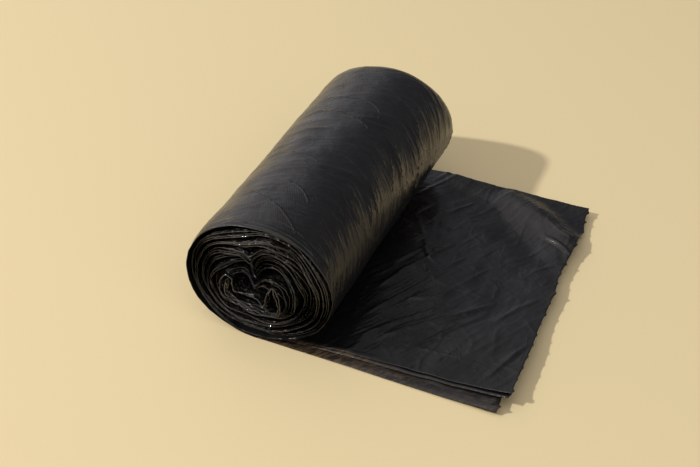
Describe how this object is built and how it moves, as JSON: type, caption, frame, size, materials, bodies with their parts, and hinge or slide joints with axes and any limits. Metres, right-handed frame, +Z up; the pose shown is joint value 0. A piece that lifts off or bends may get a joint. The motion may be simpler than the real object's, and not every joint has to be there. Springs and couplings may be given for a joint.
{
  "type": "bin bag roll",
  "caption": "Coreless roll of folded black bin bags lying on its side, its end sagged into two lobes, with the torn end of one bag unrolled flat.",
  "frame": {"origin": "on the flat underside, below the roll and half way along it", "axes": "+X the way the last bag is pulled off, +Y along the roll, +Z up from the table"},
  "size_m": [0.1137, 0.125, 0.044],
  "materials": {
    "black_film": "thin black polyethylene film, satin with creases and glossy folds"
  },
  "bodies": {
    "root": {"wound_web": "black_film"}
  },
  "joints": []
}
